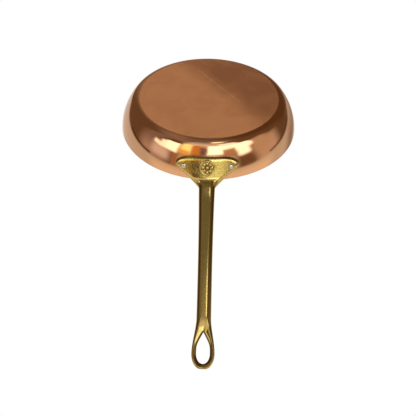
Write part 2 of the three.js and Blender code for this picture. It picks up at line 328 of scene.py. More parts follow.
lining_outer = COPPER_WALL + LINING_GAP
lining_inner = lining_outer + LINING_WALL
lining_profile = bowl_profile(lining_outer, lining_inner, PAN_DEPTH - LINING_BELOW_RIM)
tin_lining = add_piece("tin_lining", *turned(lining_profile, BOWL_TURNS))
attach(tin_lining, "root")
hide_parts("pan_lining")

# Wiped tin. It is a soft grey white, with the swirl of the wiping pad round the bowl and duller clouds
# where it was heated.
TIN_BRIGHT = "#d9d6cf"
TIN_DULL = "#a9a59d"
TIN_ROUGHNESS = (0.26, 0.46)
WIPE_WIDTH = 2.4
WIPE_WANDER = 46.0
WIPE_WANDER_SHARE = 2.5
WIPE_HEIGHT = 0.03
HEAT_CLOUD = 30.0
WIPE_SHARE = 0.4
DULL_FROM = 0.5
DULL_TO = 0.9

tree, place = new_material("wiped_tin", tin_lining)
flat_place = add_node(tree, "ShaderNodeVectorMath", {0: place, 1: (1, 1, 0)}, operation="MULTIPLY")
radius = add_node(tree, "ShaderNodeVectorMath", {0: flat_place}, "Value", operation="LENGTH")
height = add_node(tree, "ShaderNodeSeparateXYZ", {"Vector": place}, "Z")
wiped_travel = add_node(tree, "ShaderNodeMath", {0: radius, 1: height}, operation="ADD")
wiped_rows = add_node(
    tree, "ShaderNodeMath", {0: wiped_travel, 1: 1 / (WIPE_WIDTH * MM)}, operation="MULTIPLY"
)
wander = add_node(tree, "ShaderNodeTexNoise", {"Vector": place, "Scale": 1 / (WIPE_WANDER * MM), "Detail": 2})
wiped_place = add_node(
    tree, "ShaderNodeMath", {0: wander, 1: WIPE_WANDER_SHARE, 2: wiped_rows}, operation="MULTIPLY_ADD"
)
wipes = add_node(
    tree,
    "ShaderNodeTexNoise",
    {"W": wiped_place, "Scale": 1, "Detail": 3, "Roughness": 0.6},
    noise_dimensions="1D",
)
heat = add_node(
    tree,
    "ShaderNodeTexNoise",
    {"Vector": place, "Scale": 1 / (HEAT_CLOUD * MM), "Detail": 4, "Distortion": 0.5},
)
wiped_heat = add_node(tree, "ShaderNodeMath", {0: wipes, 1: WIPE_SHARE, 2: heat}, operation="MULTIPLY_ADD")
tin_share = add_node(
    tree, "ShaderNodeMapRange", {"Value": wiped_heat, "From Min": DULL_FROM, "From Max": DULL_TO}
)
tin_colour = add_node(
    tree,
    "ShaderNodeMix",
    {"Factor": tin_share, MIX_A: linear(TIN_BRIGHT), MIX_B: linear(TIN_DULL)},
    MIX_RESULT,
    data_type="RGBA",
)
tin_roughness = add_node(
    tree, "ShaderNodeMapRange", {"Value": tin_share, "To Min": TIN_ROUGHNESS[0], "To Max": TIN_ROUGHNESS[1]}
)
tin_bump = add_node(tree, "ShaderNodeBump", {"Height": wipes, "Strength": 1, "Distance": WIPE_HEIGHT * MM})
tin = add_node(
    tree,
    "ShaderNodeBsdfPrincipled",
    {"Base Color": tin_colour, "Metallic": 1, "Roughness": tin_roughness, "Normal": tin_bump},
)
add_node(tree, "ShaderNodeOutputMaterial", {"Surface": tin})

# Handle
# One brass casting: a flange that lies round the wall, a stem that bends away under the rim, and a loop.
# The flange keeps the mould's pebble inside a bevelled border. The stem is ground round. Two rivets hold it.
FLANGE_GAP = 0.3
FLANGE_THICKNESS = 3.5
FLANGE_BACK_ROUNDING = 0.5
FLANGE_WIDTH = 66.6
FLANGE_FOOT_WIDTH = 26.0
FLANGE_FOOT_BELOW_RIM = 24.1
FLANGE_TIP_BELOW_RIM = 15.0
FLANGE_TIP_ROUNDING = 0.11
FLANGE_BEND_BELOW_RIM = 6.3
FLANGE_BEVEL_WIDTH = 2.2
FLANGE_BEVEL_DEPTH = 1.6
FLANGE_BEVEL_ROUNDING = 1.2
FLANGE_BORDER = 4.2
FLANGE_BORDER_DROP = 0.9
BEND_RADIUS = 9.0
STEM_SLOPE = math.radians(20)
STEM_LENGTH = 134.6
STEM_ROOT_WIDTH = 16.4
STEM_END_WIDTH = 13.4
STEM_THICKNESS = 6.4
STEM_BACK_ROUNDING = 2.4
STEM_CROWN = 0.9
STEM_SHOULDER_WIDTH = 4.6
STEM_SHOULDER_DEPTH = 3.8
STEM_TAPER_POWER = 2.5
THROAT_LENGTH = 6.0
THROAT_ROUNDING = 0.44
FILLET_BEFORE_BEND = 8.5
FILLET_PAST_BEND = 3.0
FILLET_PAST_THROAT = 16.0
FILLET_HEIGHT = 2.0
FILLET_EDGE = 5.0
LOOP_LENGTH = 43.8
LOOP_WIDTH = 20.4
LOOP_ROUND_LENGTH = 12.8
LOOP_THICKNESS = 5.4
LOOP_BACK_ROUNDING = 1.2
LOOP_TIP_WALL = 4.3
LOOP_TIP_FLAT = 4.4
LOOP_CROWN = 1.1
LOOP_SHOULDER_WIDTH = 1.4
LOOP_SHOULDER_DEPTH = 1.5
EYE_WIDTH = 12.0
EYE_LENGTH = 27.0
EYE_ROUND_LENGTH = 8.5
EYE_BEND_SHARE = 0.6
EYE_EDGE_WIDTH = 2.2
EYE_EDGE_DEPTH = 1.4
EYE_DISH_REACH = 14.0
EYE_DISH_DEPTH = 3.0
ROSETTE_RADIUS = 7.6
ROSETTE_RING = 6.7
ROSETTE_RING_WIDTH = 0.9
ROSETTE_RING_CREST = 0.3
ROSETTE_RING_HEIGHT = 0.9
ROSETTE_PETALS = 8
ROSETTE_PETAL_FROM = 2.4
ROSETTE_PETAL_TO = 5.9
ROSETTE_PETAL_HEIGHT = 1.2
ROSETTE_PETAL_END_POWER = 0.6
ROSETTE_PETAL_SIDE_POWER = 0.8
ROSETTE_BUTTON_RADIUS = 1.7
ROSETTE_BUTTON_HEIGHT = 1.2
ROSETTE_WORN_HEIGHT = 0.5
# Painted shade darkens the sides and the eye's edge, and fades between two distances from the edge. It stops
# short of the very edge, which keeps the plain brass colour.
STEM_SIDE = (1.0, 3.8)
LOOP_SIDE = (0.4, 1.7)
EYE_SIDE = (1.0, 2.8)
SIDE_SHADE = 0.75
STEM_UNSHADED_EDGE = 1.1
LOOP_UNSHADED_EDGE = 0.6
# The mesh follows both edges in rings, is even over the faces, and is finest in the rosette.
OUTLINE_SPACING = 0.8
OUTLINE_SAMPLES = 4000
EDGE_RINGS = (0.1, 0.35, 0.8, 1.4, 1.9, 2.3, 2.8, 3.4, 4.0, 4.5)
EDGE_RING_TOLERANCE = 0.03
FACE_SPACING = 1.1
ROSETTE_SPOKES = 80
ROSETTE_RINGS = 20
ROSETTE_MARGIN = 0.3
JOIN_TOLERANCE = 1e-5
LEAST_ROUNDNESS = 1e-6

spine_outside = FLANGE_GAP + FLANGE_THICKNESS / 2
foot_travel = travel_at(PAN_DEPTH - FLANGE_FOOT_BELOW_RIM)
tip_station = travel_at(PAN_DEPTH - FLANGE_TIP_BELOW_RIM) - foot_travel
bend_station = travel_at(PAN_DEPTH - FLANGE_BEND_BELOW_RIM) - foot_travel
bend_length = BEND_RADIUS * (wall_angle(foot_travel + bend_station) - STEM_SLOPE)
stem_station = bend_station + bend_length
throat_station = stem_station + THROAT_LENGTH
fillet_station = bend_station + FILLET_PAST_BEND
loop_station = stem_station + STEM_LENGTH
widest_station = loop_station + LOOP_LENGTH - LOOP_ROUND_LENGTH
end_station = loop_station + LOOP_LENGTH


def lerp(start, end, share):
    """Value at a share of the way from start to end."""
    return start + (end - start) * share


def smoothstep(value, start, end):
    """0 up to start and 1 from end on, with a level start and end between them."""
    share = np.clip((value - start) / (end - start), 0, 1)
    return share * share * (3 - 2 * share)


def handle_point(station, across, off):
    """Point at a distance along the handle's spine, across it and off it to its outer, lower side."""
    climbed = foot_travel + min(station, bend_station)
    bent = min(max(station - bend_station, 0), bend_length)
    straight = max(station - stem_station, 0)
    start = wall_angle(climbed)
    angle = start - bent / BEND_RADIUS
    x, z = wall_point(climbed, spine_outside)
    x += BEND_RADIUS * (math.sin(start) - math.sin(angle)) + straight * math.cos(angle)
    z += BEND_RADIUS * (math.cos(angle) - math.cos(start)) + straight * math.sin(angle)
    off_x = off * math.sin(angle)
    off_z = -off * math.cos(angle)
    roundness = 1 - smoothstep(bent, 0, bend_length)
    if roundness < LEAST_ROUNDNESS:
        return x + off_x, across, z + off_z
    round_radius = x / roundness
    turn = across / round_radius
    reach = round_radius + off_x
    return x + off_x - reach * (1 - math.cos(turn)), reach * math.sin(turn), z + off_z


def eased_in(share, rounding):
    """A share that still runs from 0 to 1, but starts level and rounds into its slope."""
    return (math.hypot(share, rounding) - rounding) / (math.hypot(1, rounding) - rounding)


def half_width(station):
    """Half of the handle's width at a station."""
    if station < tip_station:
        left = 1 - station / tip_station
        return lerp(FLANGE_FOOT_WIDTH, FLANGE_WIDTH, math.sqrt(1 - left * left)) / 2
    if station < throat_station:
        run = (station - tip_station) / (throat_station - tip_station)
        left = 1 - eased_in(run, FLANGE_TIP_ROUNDING)
        return lerp(STEM_ROOT_WIDTH, FLANGE_WIDTH, eased_in(left, THROAT_ROUNDING)) / 2
    if station < loop_station:
        left = (loop_station - station) / (loop_station - throat_station)
        return lerp(STEM_END_WIDTH, STEM_ROOT_WIDTH, left ** STEM_TAPER_POWER) / 2
    if station < widest_station:
        return lerp(STEM_END_WIDTH, LOOP_WIDTH, smoothstep(station, loop_station, widest_station)) / 2
    run = (station - widest_station) / (end_station - widest_station)
    return lerp(LOOP_TIP_FLAT, LOOP_WIDTH, math.sqrt(max(1 - run * run, 0))) / 2


def even_loop(points, spacing):
    """The same closed line with its points at an even spacing."""
    closed = np.vstack([points, points[:1]])
    travel = np.concatenate([[0], np.cumsum(np.linalg.norm(np.diff(closed, axis=0), axis=1))])
    count = round(travel[-1] / spacing)
    marks = np.arange(count) * travel[-1] / count
    return np.column_stack([np.interp(marks, travel, closed[:, axis]) for axis in (0, 1)])


# The handle is first drawn flat, by the distance along its spine and across it.
outline_stations = np.linspace(0, end_station, OUTLINE_SAMPLES)
outline_side = np.array([(station, half_width(station)) for station in outline_stations])
outline = even_loop(np.vstack([outline_side * (1, -1), outline_side[::-1]]), OUTLINE_SPACING)
# The eye is a pointed drop: one cubic curve on each side up to where it is widest, then half an ellipse.
eye_end = end_station - LOOP_TIP_WALL
eye_start = eye_end - EYE_LENGTH
eye_wide = eye_end - EYE_ROUND_LENGTH
eye_bend = lerp(eye_start, eye_wide, EYE_BEND_SHARE)
shares = np.linspace(0, 1, OUTLINE_SAMPLES)
eye_along = eye_start * (1 - shares) ** 3 + 3 * eye_bend * shares * (1 - shares) + eye_wide * shares ** 3
eye_across = EYE_WIDTH / 2 * (1 - (1 - shares) ** 3)
eye_turns = np.linspace(math.pi / 2, 0, OUTLINE_SAMPLES)
eye_side = np.vstack([
    np.column_stack([eye_along, eye_across]),
    np.column_stack([eye_wide + EYE_ROUND_LENGTH * np.cos(eye_turns), EYE_WIDTH / 2 * np.sin(eye_turns)]),
])
eye = even_loop(np.vstack([eye_side, eye_side[::-1] * (1, -1)]), OUTLINE_SPACING)


def from_loop(points, loop):
    """Distance of each point from a closed line."""
    runs = np.roll(loop, -1, axis=0) - loop
    lengths = (runs * runs).sum(axis=1)
    gaps = []
    for point in points:
        reach = point - loop
        share = np.clip((reach * runs).sum(axis=1) / lengths, 0, 1)
        gaps.append(np.linalg.norm(reach - runs * share[:, None], axis=1).min())
    return np.array(gaps)


def from_edge(points):
    """Distance of each point from the nearest edge, the outline's or the eye's."""
    return np.minimum(from_loop(points, outline), from_loop(points, eye))


def rounded_drop(gap, width, depth):
    """How far a quarter-round edge falls below the face at a gap from the edge's line."""
    share = np.clip(1 - gap / width, 0, 1)
    return depth * (1 - np.sqrt(1 - share * share))


def on_handle(points):
    """Whether each point is inside the outline and outside the eye."""
    starts = np.vstack([outline, eye])
    ends = np.vstack([np.roll(loop, -1, axis=0) for loop in (outline, eye)])
    found = []
    for along, side in points:
        crossed = (starts[:, 1] > side) != (ends[:, 1] > side)
        rise = np.where(crossed, ends[:, 1] - starts[:, 1], 1)
        meets = starts[:, 0] + (side - starts[:, 1]) * (ends[:, 0] - starts[:, 0]) / rise
        found.append(np.count_nonzero(crossed & (meets > along)) % 2 == 1)
    return np.array(found)


# Points over the flat drawing, which are then joined into triangles.
rosette_centre = np.array([tip_station, 0])
face_points = []
for edge_ring in EDGE_RINGS:
    for loop in (outline, eye):
        run = np.roll(loop, -1, axis=0) - np.roll(loop, 1, axis=0)
        inward = np.column_stack([-run[:, 1], run[:, 0]]) / np.linalg.norm(run, axis=1)[:, None]
        ring = loop + inward * edge_ring
        apart = from_edge(ring) > edge_ring - EDGE_RING_TOLERANCE
        face_points.append(ring[on_handle(ring) & apart])
row_step = FACE_SPACING * math.sqrt(3) / 2
rows = np.arange(0, end_station, row_step)
columns = np.arange(-FLANGE_WIDTH / 2, FLANGE_WIDTH / 2, FACE_SPACING)
row_shifts = FACE_SPACING / 2 * (np.arange(len(rows)) % 2)
grid = np.array([(row, column + shift) for row, shift in zip(rows, row_shifts) for column in columns])
grid = grid[on_handle(grid)]
face_points.append(grid[from_edge(grid) > EDGE_RINGS[-1] + FACE_SPACING / 2])
face_points = np.vstack(face_points)
from_rosette = np.linalg.norm(face_points - rosette_centre, axis=1)
face_points = face_points[from_rosette > ROSETTE_RADIUS + FACE_SPACING / 2]
spoke_turns = 2 * math.pi * np.arange(ROSETTE_SPOKES) / ROSETTE_SPOKES
spokes = np.array([(math.cos(turn), math.sin(turn)) for turn in spoke_turns])
ring_reaches = (ROSETTE_RADIUS + ROSETTE_MARGIN) * np.arange(1, ROSETTE_RINGS + 1) / ROSETTE_RINGS
rosette_points = np.vstack([rosette_centre + reach * spokes for reach in ring_reaches])
flat_points = np.vstack([outline, eye, face_points, rosette_points, [rosette_centre]])
loop_edges = []
for first, count in ((0, len(outline)), (len(outline), len(eye))):
    loop_edges += [(first + i, first + (i + 1) % count) for i in range(count)]
flat_verts, _, flat_faces, *_ = delaunay_2d_cdt(
    [Vector(point) for point in flat_points], loop_edges, [], 0, JOIN_TOLERANCE
)
flat_points = np.array([vert[:] for vert in flat_verts])
flat_faces = np.array(flat_faces)
flat_faces = flat_faces[on_handle(flat_points[flat_faces].mean(axis=1))]

# How far each point of the outer and of the inner face lies off the spine.
stations, sides = flat_points.T
outline_gap = from_loop(flat_points, outline)
eye_gap = from_loop(flat_points, eye)
edge_gap = np.minimum(outline_gap, eye_gap)
grown = smoothstep(stations, bend_station, throat_station)
thinned = smoothstep(stations, throat_station, loop_station)
looped = smoothstep(stations, loop_station, widest_station)
half = lerp(FLANGE_THICKNESS, lerp(STEM_THICKNESS, LOOP_THICKNESS, thinned), grown) / 2
back_rounding = lerp(FLANGE_BACK_ROUNDING, lerp(STEM_BACK_ROUNDING, LOOP_BACK_ROUNDING, thinned), grown)
inner_face = -half + rounded_drop(edge_gap, back_rounding, back_rounding)
bevel_share = np.clip(1 - outline_gap / FLANGE_BEVEL_WIDTH, 0, 1)
border_share = np.clip(1 - outline_gap / FLANGE_BORDER, 0, 1)
bevel_drop = FLANGE_BEVEL_DEPTH * bevel_share ** FLANGE_BEVEL_ROUNDING + FLANGE_BORDER_DROP * border_share
shoulder_width = lerp(STEM_SHOULDER_WIDTH, LOOP_SHOULDER_WIDTH, looped)
shoulder_depth = lerp(STEM_SHOULDER_DEPTH, LOOP_SHOULDER_DEPTH, looped)
shoulder_drop = rounded_drop(outline_gap, shoulder_width, shoulder_depth)
dish_share = np.clip(1 - eye_gap / EYE_DISH_REACH, 0, 1)
eye_drop = rounded_drop(eye_gap, EYE_EDGE_WIDTH, EYE_EDGE_DEPTH) + EYE_DISH_DEPTH * dish_share ** 2
crown = lerp(STEM_CROWN, LOOP_CROWN, looped) * grown
fillet_in = smoothstep(stations, bend_station - FILLET_BEFORE_BEND, fillet_station)
fillet_out = smoothstep(stations, throat_station + FILLET_PAST_THROAT, fillet_station)
fillet = FILLET_HEIGHT * fillet_in * fillet_out * smoothstep(outline_gap, 0, FILLET_EDGE)
reach = np.linalg.norm(flat_points - rosette_centre, axis=1)
from_ring = np.abs(reach - ROSETTE_RING)
ring_share = smoothstep(from_ring, ROSETTE_RING_WIDTH, ROSETTE_RING_CREST * ROSETTE_RING_WIDTH)
petal_along = np.clip((reach - ROSETTE_PETAL_FROM) / (ROSETTE_PETAL_TO - ROSETTE_PETAL_FROM), 0, 1)
petal_across = np.abs(np.cos(np.arctan2(sides, stations - tip_station) * ROSETTE_PETALS / 2))
petal_ends = np.sin(math.pi * petal_along) ** ROSETTE_PETAL_END_POWER
petal_share = petal_ends * petal_across ** ROSETTE_PETAL_SIDE_POWER
button_share = np.sqrt(np.clip(1 - (reach / ROSETTE_BUTTON_RADIUS) ** 2, 0, 1))
relief = (
    ROSETTE_RING_HEIGHT * ring_share
    + ROSETTE_PETAL_HEIGHT * petal_share
    + ROSETTE_BUTTON_HEIGHT * button_share
)
outer_face = half + crown - lerp(bevel_drop, shoulder_drop, grown) - eye_drop + fillet + relief

# Both faces are bent along the spine, and joined round the outline and the eye.
outer_points = [handle_point(*row) for row in zip(stations, sides, outer_face)]
inner_points = [handle_point(*row) for row in zip(stations, sides, inner_face)]
count = len(stations)
inner_faces = (flat_faces + count).tolist()
outer_faces = flat_faces[:, ::-1].tolist()
face_sides = {(face[i], face[(i + 1) % 3]) for face in flat_faces.tolist() for i in range(3)}
rim_sides = [(start, end) for start, end in face_sides if (end, start) not in face_sides]
rim_faces = [(end + count, start + count, start, end) for start, end in sorted(rim_sides)]
cast_handle = add_piece("cast_handle", outer_points + inner_points, outer_faces + inner_faces + rim_faces)

# Patina in the rosette's hollows, and painted shade on the sides and round the eye, are one value on the
# mesh, which the material reads.
in_rosette = reach < ROSETTE_RING
hollows = np.where(in_rosette, 1 - smoothstep(relief, 0, ROSETTE_WORN_HEIGHT), 0)
side_from = lerp(STEM_SIDE[0], LOOP_SIDE[0], looped)
side_to = lerp(STEM_SIDE[1], LOOP_SIDE[1], looped)
unshaded_edge = smoothstep(outline_gap, 0, lerp(STEM_UNSHADED_EDGE, LOOP_UNSHADED_EDGE, looped))
# Painted shade down the sides of the stem and the loop, kept off the very edge.
painted_side_shade = grown * unshaded_edge * (1 - smoothstep(outline_gap, side_from, side_to))
# Painted shade round the eye's edge.
painted_eye_shade = 1 - smoothstep(eye_gap, *EYE_SIDE)
patina_and_shade_values = np.maximum(hollows, SIDE_SHADE * np.maximum(painted_side_shade, painted_eye_shade))
patina_and_shade_layer = cast_handle.data.attributes.new("patina_and_shade", "FLOAT", "POINT")
patina_and_shade_layer.data.foreach_set("value", np.concatenate([patina_and_shade_values, np.zeros(count)]))
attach(cast_handle, "root")
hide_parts("handle")

# Cast brass, tumbled and buffed. It is a bright olive gold that mirrors softly, with a pebble left by the
# mould, coarser on the flange than on the stem. Patina stays in the rosette's hollows, and painted shade
# darkens the stem's sides and the edge round the eye. The pebble is drawn coarser than the real one, so that
# it shows.
BRASS_BRIGHT = "#bfab69"
BRASS_DARK = "#a18c4d"
BRASS_PATINA_AND_SHADE = "#4b3b1d"
BRASS_ROUGHNESS = (0.08, 0.16)
FLANGE_GRAIN = 1.6
FLANGE_GRAIN_HEIGHT = 0.17
STEM_GRAIN = 1.0
STEM_GRAIN_HEIGHT = 0.009
GRAIN_DETAIL = {"Detail": 3, "Roughness": 0.6}
GRAIN_RANGE = (0.3, 0.6)
# Distances from the pan's axis between which the flange's pebble gives way to the stem's.
GRAIN_CHANGE = (101.0, 107.0)

tree, place = new_material("cast_brass", cast_handle)
along = add_node(tree, "ShaderNodeSeparateXYZ", {"Vector": place}, "X")
on_stem = add_node(
    tree,
    "ShaderNodeMapRange",
    {"Value": along, "From Min": GRAIN_CHANGE[0] * MM, "From Max": GRAIN_CHANGE[1] * MM},
    interpolation_type="SMOOTHSTEP",
)
flange_grain = add_node(
    tree, "ShaderNodeTexNoise", {"Vector": place, "Scale": 1 / (FLANGE_GRAIN * MM), **GRAIN_DETAIL}
)
stem_grain = add_node(
    tree, "ShaderNodeTexNoise", {"Vector": place, "Scale": 1 / (STEM_GRAIN * MM), **GRAIN_DETAIL}
)
grain = add_node(tree, "ShaderNodeMix", {"Factor": on_stem, "A": flange_grain, "B": stem_grain})
grain_height = add_node(
    tree,
    "ShaderNodeMapRange",
    {"Value": on_stem, "To Min": FLANGE_GRAIN_HEIGHT * MM, "To Max": STEM_GRAIN_HEIGHT * MM},
)
grain_share = add_node(
    tree, "ShaderNodeMapRange", {"Value": grain, "From Min": GRAIN_RANGE[0], "From Max": GRAIN_RANGE[1]}
)
grain_colour = add_node(
    tree,
    "ShaderNodeMix",
    {"Factor": grain_share, MIX_A: linear(BRASS_DARK), MIX_B: linear(BRASS_BRIGHT)},
    MIX_RESULT,
    data_type="RGBA",
)
# This value mixes in the dark colour: patina in the rosette's hollows, and painted shade on the sides and
# round the eye.
patina_and_shade = add_node(tree, "ShaderNodeAttribute", {}, "Fac", attribute_name="patina_and_shade")
brass_colour = add_node(
    tree,
    "ShaderNodeMix",
    {"Factor": patina_and_shade, MIX_A: grain_colour, MIX_B: linear(BRASS_PATINA_AND_SHADE)},
    MIX_RESULT,
    data_type="RGBA",
)
brass_roughness = add_node(
    tree,
    "ShaderNodeMapRange",
    {"Value": grain_share, "To Min": BRASS_ROUGHNESS[1], "To Max": BRASS_ROUGHNESS[0]},
)
brass_bump = add_node(tree, "ShaderNodeBump", {"Height": grain, "Strength": 1, "Distance": grain_height})
brass = add_node(
    tree,
    "ShaderNodeBsdfPrincipled",
    {"Base Color": brass_colour, "Metallic": 1, "Roughness": brass_roughness, "Normal": brass_bump},
)
add_node(tree, "ShaderNodeOutputMaterial", {"Surface": brass})

# Rivets
# Two steel rivets, pushed from inside the pan through lining, shell and flange, and hammered shut outside.
# The wide made head lies on the lining, and the small closed head shows on the flange.
RIVET_FROM_TIP = 9.3
RIVET_BELOW_RIM = 15.0
RIVET_SHANK_RADIUS = 1.8
RIVET_OUTER_HEAD_RADIUS = 2.6
RIVET_OUTER_HEAD_HEIGHT = 1.5
RIVET_INNER_HEAD_RADIUS = 4.6
RIVET_INNER_HEAD_HEIGHT = 1.9
RIVET_TURNS = 48
HEAD_STEPS = 14

rivet_travel = travel_at(PAN_DEPTH - RIVET_BELOW_RIM)
flange_face = FLANGE_GAP + FLANGE_THICKNESS
rivet_across = FLANGE_WIDTH / 2 - RIVET_FROM_TIP
rivet_turn = rivet_across / wall_point(rivet_travel, flange_face).x
rivet_skin = wall_point(rivet_travel, 0)
inner_seat = -lining_inner
head_turns = [math.pi / 2 * i / HEAD_STEPS for i in range(HEAD_STEPS)]
rivet_profile = [
    (0, inner_seat - RIVET_INNER_HEAD_HEIGHT),
    *[
        (RIVET_INNER_HEAD_RADIUS * math.cos(turn), inner_seat - RIVET_INNER_HEAD_HEIGHT * math.sin(turn))
        for turn in reversed(head_turns)
    ],
    (RIVET_SHANK_RADIUS, inner_seat),
    (RIVET_SHANK_RADIUS, flange_face),
    *[
        (RIVET_OUTER_HEAD_RADIUS * math.cos(turn), flange_face + RIVET_OUTER_HEAD_HEIGHT * math.sin(turn))
        for turn in head_turns
    ],
    (0, flange_face + RIVET_OUTER_HEAD_HEIGHT),
]
rivet_points, rivet_faces = turned(rivet_profile, RIVET_TURNS)
rivet_pieces = []
for side, turn in (("left", rivet_turn), ("right", -rivet_turn)):
    seat = Matrix.Rotation(turn, 4, "Z") @ Matrix.Translation((rivet_skin.x, 0, rivet_skin.y))
    seat = seat @ Matrix.Rotation(math.pi - wall_angle(rivet_travel), 4, "Y")
    rivet = add_piece("rivet_head_" + side, [seat @ Vector(point) for point in rivet_points], rivet_faces)
    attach(rivet, "root")
    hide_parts("rivet_" + side)
    rivet_pieces.append(rivet)

# Plated steel, hammered shut. It is bright and silvery, with the small dents of the hammer.
STEEL_BRIGHT = "#d2d0ca"
STEEL_DULL = "#97938b"
STEEL_ROUGHNESS = (0.1, 0.18)
HAMMER_DENT = 1.4
HAMMER_DEPTH = 0.12

tree, place = new_material("plated_steel", *rivet_pieces)
dents = add_node(tree, "ShaderNodeTexNoise", {"Vector": place, "Scale": 1 / (HAMMER_DENT * MM), "Detail": 2})
steel_colour = add_node(
    tree,
    "ShaderNodeMix",
    {"Factor": dents, MIX_A: linear(STEEL_DULL), MIX_B: linear(STEEL_BRIGHT)},
    MIX_RESULT,
    data_type="RGBA",
)
steel_roughness = add_node(
    tree, "ShaderNodeMapRange", {"Value": dents, "To Min": STEEL_ROUGHNESS[1], "To Max": STEEL_ROUGHNESS[0]}
)
steel_bump = add_node(tree, "ShaderNodeBump", {"Height": dents, "Strength": 1, "Distance": HAMMER_DEPTH * MM})
steel = add_node(
    tree,
    "ShaderNodeBsdfPrincipled",
    {"Base Color": steel_colour, "Metallic": 1, "Roughness": steel_roughness, "Normal": steel_bump},
)
add_node(tree, "ShaderNodeOutputMaterial", {"Surface": steel})

# Studio
# A pale floor, clear from below because the photograph looks up at the base, and a white sky behind it.
# A wide shell round it all, unseen by the camera, glows like lamps, softboxes, coloured cards and dark flags.
FLOOR_RADIUS = 4000.0
FLOOR_BELOW_BASE = 0.5
FLOOR_COLOUR = "#e9e7e3"
FLOOR_CORNERS = 96
SKY_COLOUR = "#ffffff"
ROOM_DISTANCE = 8000.0
ROOM_STEP = 4.0
ROOM_COLOUR = "#7c624b"
# Each patch has its middle, half-widths and softness of edge in degrees, then its colour and strength.
# A place is a heading from the handle's side, towards the pan's left, and a dip below the level of the base.
# Headings stop at 180, so a patch behind the pan is given from both sides. Later patches cover earlier ones.
ROOM_PATCHES = {
    "card_under": ((0, 90), (190, 16), 9, "#b2a798", 0.6),
    "card_under_left": ((95, 66), (60, 9), 8, "#a99386", 1.0),
    "card_under_front": ((-5, 64), (48, 14.5), 6, "#d6ccc8", 1.0),
    "card_under_edge": ((2, 56), (36, 9), 6, "#fff4e6", 1.15),
    "card_behind_left": ((180, 32), (26, 26), 12, "#a98e7c", 1.1),
    "card_behind_right": ((-180, 32), (10, 26), 10, "#a98e7c", 1.1),
    "flag_behind_right": ((-140, 38), (24, 34), 12, "#6b4f33", 1.0),
    "card_far_left": ((80, 34), (12, 28), 9, "#a08a80", 1.0),
    "lamp_right": ((-36, 54), (16, 8), 4, "#f4f8ff", 2.4),
    "lamp_stem_far": ((-76, 79), (22, 3), 2.5, "#fff8ea", 0.6),
    "lamp_stem": ((-36, 79), (22, 3.5), 2, "#fff8f0", 3.0),
    "card_left_wide": ((70, 0), (20, 11), 11, "#d3bab2", 1.0),
    "card_left": ((61, 8), (12, 9), 6, "#fff3f5", 1.1),
    "card_right": ((-80, 2), (18, 18), 9, "#ead2c4", 1.0),
    "card_front": ((0, 5), (37, 17), 6, "#dacdb8", 1.0),
    "card_front_left": ((29, 4), (8, 15), 4, "#d9b888", 1.3),
    "card_front_right": ((-15, 5), (4.5, 16), 4, "#fff6da", 2.0),
    "card_warm_left": ((42, 6), (2.5, 15), 2.5, "#e0a878", 0.8),
    "flag_right": ((-51, 0), (8, 13), 4, "#8a6a4e", 1.0),
    "flag_front": ((14, 5), (6, 17), 4, "#6b5a48", 0.9),
    "card_front_pale": ((-3, 15), (7, 6), 4, "#fff8ec", 1.8),
    "card_right_deep": ((-74, 24), (14, 18), 8, "#e6cbb4", 1.0),
    "softbox_left": ((50, 28), (10, 10), 2.5, "#ffffff", 3.0),
    "softbox_left_middle": ((60, 24), (5, 6), 3, "#ffffff", 2.6),
    "softbox_left_far": ((67, 19.5), (7, 3), 2, "#ffffff", 2.4),
    "softbox_middle": ((-10, 37), (11, 12), 2, "#ffffff", 3.4),
    "softbox_right_wide": ((-38, 39.5), (22, 7), 3, "#ffffff", 3.0),
    "softbox_right": ((-51, 36), (13, 10), 3, "#ffffff", 3.0),
    "softbox_right_upper": ((-48, 22), (8.5, 7), 3.5, "#ffffff", 3.0),
    "card_brown": ((-29.5, 26.5), (8, 5.5), 2, "#deb083", 1.0),
    "card_yellow": ((30, 36), (8, 13), 4, "#fdffb4", 2.1),
    "card_gold": ((32, 24), (8, 4), 3, "#ffcb78", 1.4),
    "card_orange": ((16, 34), (6, 11), 2.5, "#ffab52", 1.0),
    "card_peach": ((5, 43), (6, 4), 2, "#ffc890", 1.1),
    "flag_grey": ((5, 33), (5, 4.5), 1.5, "#87798c", 1.0),
    "card_over": ((0, -50), (190, 41), 2, "#f5eee6", 0.92),
    "card_over_front": ((-6, -33), (78, 20), 9, "#fff0de", 1.2),
    "card_over_far_right": ((-148, -32), (32, 20), 12, "#d1b89e", 0.65),
    "card_over_left": ((75, -58), (28, 14), 8, "#fff8ee", 1.15),
    "card_over_right": ((-75, -58), (28, 14), 8, "#ffeed8", 1.1),
    "card_over_behind_left": ((180, -52), (40, 18), 10, "#ffffff", 1.5),
    "card_over_behind_right": ((-180, -52), (40, 18), 10, "#ffffff", 1.5),
    "flag_line_left": ((93, -6.5), (20, 1.6), 1.0, "#5a4433", 0.8),
    "flag_line_right": ((-104, -6), (24, 1.4), 1.4, "#6f5540", 0.9),
    "ceiling": ((0, -90), (190, 16), 5, "#8f8c88", 1.0),
    "ceiling_lamp": ((60, -76), (50, 6), 3, "#ffffff", 1.8),
}
# A Map Range node's vector sockets share their names with its number sockets, so they go by number.
RANGE_FROM_MIN, RANGE_FROM_MAX, RANGE_TO_MIN, RANGE_TO_MAX = 7, 8, 9, 10


def sphere_point(heading, dip, distance):
    """Point in a direction from the pan, given in degrees."""
    heading, dip = math.radians(heading), math.radians(dip)
    level = math.cos(dip) * distance
    return level * math.cos(heading), level * math.sin(heading), -math.sin(dip) * distance


